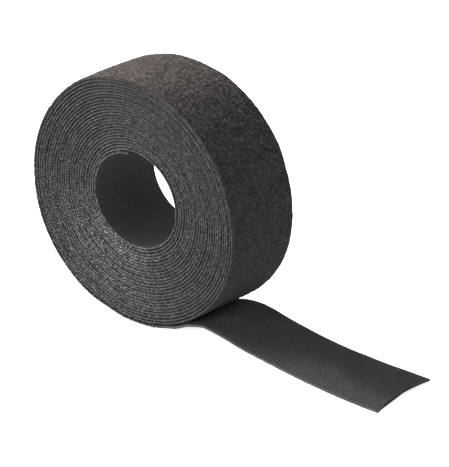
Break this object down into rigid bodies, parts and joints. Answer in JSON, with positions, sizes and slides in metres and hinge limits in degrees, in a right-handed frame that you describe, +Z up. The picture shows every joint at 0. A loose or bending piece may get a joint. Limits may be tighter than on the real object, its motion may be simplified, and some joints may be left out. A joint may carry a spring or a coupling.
{
  "type": "hook and loop tape roll",
  "caption": "Coreless roll of back-to-back hook and loop tape standing on its rim, with its free end peeled off and lying on the floor, ready to be cut and wrapped.",
  "frame": {"origin": "on the floor, under the middle of the roll's width and its axis", "axes": "+X along the free end, +Y along the roll's axis, +Z up"},
  "size_m": [0.1291, 0.025, 0.0738],
  "materials": {
    "loop_fabric": "napped knit loop, brown-black, no gloss",
    "bond_film": "thin matt bonding film, grey at the cut edge",
    "hook_plastic": "satin moulded hooks in close cross rows, green-black"
  },
  "bodies": {
    "roll": {"wound_loop_strip": "loop_fabric", "wound_film_strip": "bond_film", "wound_hook_strip": "hook_plastic"},
    "inner_end": {"inner_end_loop": "loop_fabric", "inner_end_film": "bond_film", "inner_end_hook": "hook_plastic"},
    "tail_1": {"tail_1_loop": "loop_fabric", "tail_1_film": "bond_film", "tail_1_hook": "hook_plastic"},
    "tail_2": {"tail_2_loop": "loop_fabric", "tail_2_film": "bond_film", "tail_2_hook": "hook_plastic"},
    "tail_3": {"tail_3_loop": "loop_fabric", "tail_3_film": "bond_film", "tail_3_hook": "hook_plastic"},
    "tail_4": {"tail_4_loop": "loop_fabric", "tail_4_film": "bond_film", "tail_4_hook": "hook_plastic"},
    "tail_5": {"tail_5_loop": "loop_fabric", "tail_5_film": "bond_film", "tail_5_hook": "hook_plastic"},
    "tail_6": {"tail_6_loop": "loop_fabric", "tail_6_film": "bond_film", "tail_6_hook": "hook_plastic"},
    "tail_7": {"tail_7_loop": "loop_fabric", "tail_7_film": "bond_film", "tail_7_hook": "hook_plastic"}
  },
  "joints": [
    {"name": "tail_press_root", "type": "hinge", "parent": "roll", "child": "tail_1", "pos_m": [0.01698, 0, 0.00406], "axis": [0, -1, 0], "range_deg": [0, 10.41]},
    {"name": "tail_press_mid", "type": "hinge", "parent": "tail_1", "child": "tail_2", "pos_m": [0.02292, 0, 0.00616], "axis": [0, -1, 0], "range_deg": [0, 16.08]},
    {"name": "tail_press", "type": "hinge", "parent": "tail_2", "child": "tail_3", "pos_m": [0.02862, 0, 0.00682], "axis": [0, -1, 0], "range_deg": [0, 34.13]},
    {"name": "tail_curl", "type": "hinge", "parent": "tail_3", "child": "tail_4", "pos_m": [0.04057, 0, 0.00489], "axis": [0, -1, 0], "range_deg": [0, 17]},
    {"name": "tail_curl_2", "type": "hinge", "parent": "tail_4", "child": "tail_5", "pos_m": [0.0526, 0, 0.0032], "axis": [0, -1, 0], "range_deg": [0, 17.01]},
    {"name": "tail_curl_3", "type": "hinge", "parent": "tail_5", "child": "tail_6", "pos_m": [0.06472, 0, 0.0019], "axis": [0, -1, 0], "range_deg": [0, 16.5]},
    {"name": "tail_curl_tip", "type": "hinge", "parent": "tail_6", "child": "tail_7", "pos_m": [0.07688, 0, 0.00112], "axis": [0, -1, 0], "range_deg": [0, 16.07]},
    {"name": "inner_end_peel", "type": "hinge", "parent": "roll", "child": "inner_end", "pos_m": [-0.00958, 0, 0.04839], "axis": [0, 1, 0], "range_deg": [0, 40]}
  ],
  "couplings": [
    {"joint": "tail_press_root", "follows": "tail_press", "ratio": 0.30364},
    {"joint": "tail_press_mid", "follows": "tail_press", "ratio": 0.46975},
    {"joint": "tail_curl_2", "follows": "tail_curl", "ratio": 0.99788},
    {"joint": "tail_curl_3", "follows": "tail_curl", "ratio": 0.96782},
    {"joint": "tail_curl_tip", "follows": "tail_curl", "ratio": 0.94206}
  ]
}
